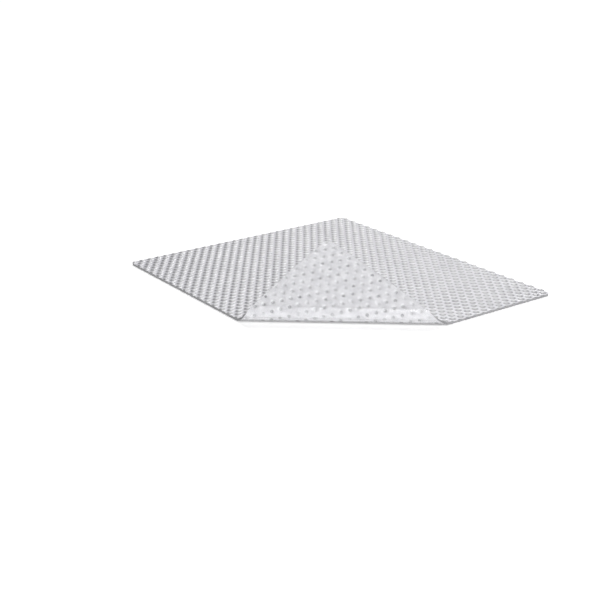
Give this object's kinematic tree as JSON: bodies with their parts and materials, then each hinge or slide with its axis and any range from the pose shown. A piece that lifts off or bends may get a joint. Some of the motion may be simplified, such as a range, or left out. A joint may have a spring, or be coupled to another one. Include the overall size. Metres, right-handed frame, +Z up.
{
  "type": "snowboard stomp pad",
  "caption": "Thin clear rectangular stick-on grip pad with a dense bed of small studs, an adhesive back and a release liner, one corner rolled back over the pad.",
  "frame": {"origin": "middle of the flat sheet's underside, on the surface the pad lies on", "axes": "+X across the sheet's short side, +Y along its long side, +Z up from the studs; the rolled corner is at -X, -Y"},
  "size_m": [0.127, 0.1524, 0.0287],
  "materials": {
    "grip": "milky translucent moulded plastic, satin studs",
    "adhesive": "clear acrylic adhesive",
    "liner": "clear glossy film"
  },
  "bodies": {
    "pad": {"grip_sheet": "grip", "adhesive_layer": "adhesive", "release_liner": "liner"},
    "roll": {"lower_roll_grip": "grip", "lower_roll_adhesive": "adhesive", "lower_roll_liner": "liner", "upper_roll_grip": "grip", "upper_roll_adhesive": "adhesive", "upper_roll_liner": "liner"},
    "corner": {"corner_grip": "grip", "corner_adhesive": "adhesive", "corner_liner": "liner"}
  },
  "joints": [
    {"name": "lower_bend", "type": "hinge", "parent": "pad", "child": "roll", "pos_m": [-0.03036, -0.0489, 0.001], "axis": [-0.7658, 0.6431, 0], "range_deg": [-70, 10], "deforming": ["lower_roll_grip", "lower_roll_adhesive", "lower_roll_liner"]},
    {"name": "upper_bend", "type": "hinge", "parent": "roll", "child": "corner", "pos_m": [-0.03135, -0.05008, 0.00545], "axis": [-0.7658, 0.6431, 0], "range_deg": [-70, 10], "deforming": ["upper_roll_grip", "upper_roll_adhesive", "upper_roll_liner"]}
  ],
  "couplings": [
    {"joint": "upper_bend", "follows": "lower_bend", "ratio": 1}
  ]
}
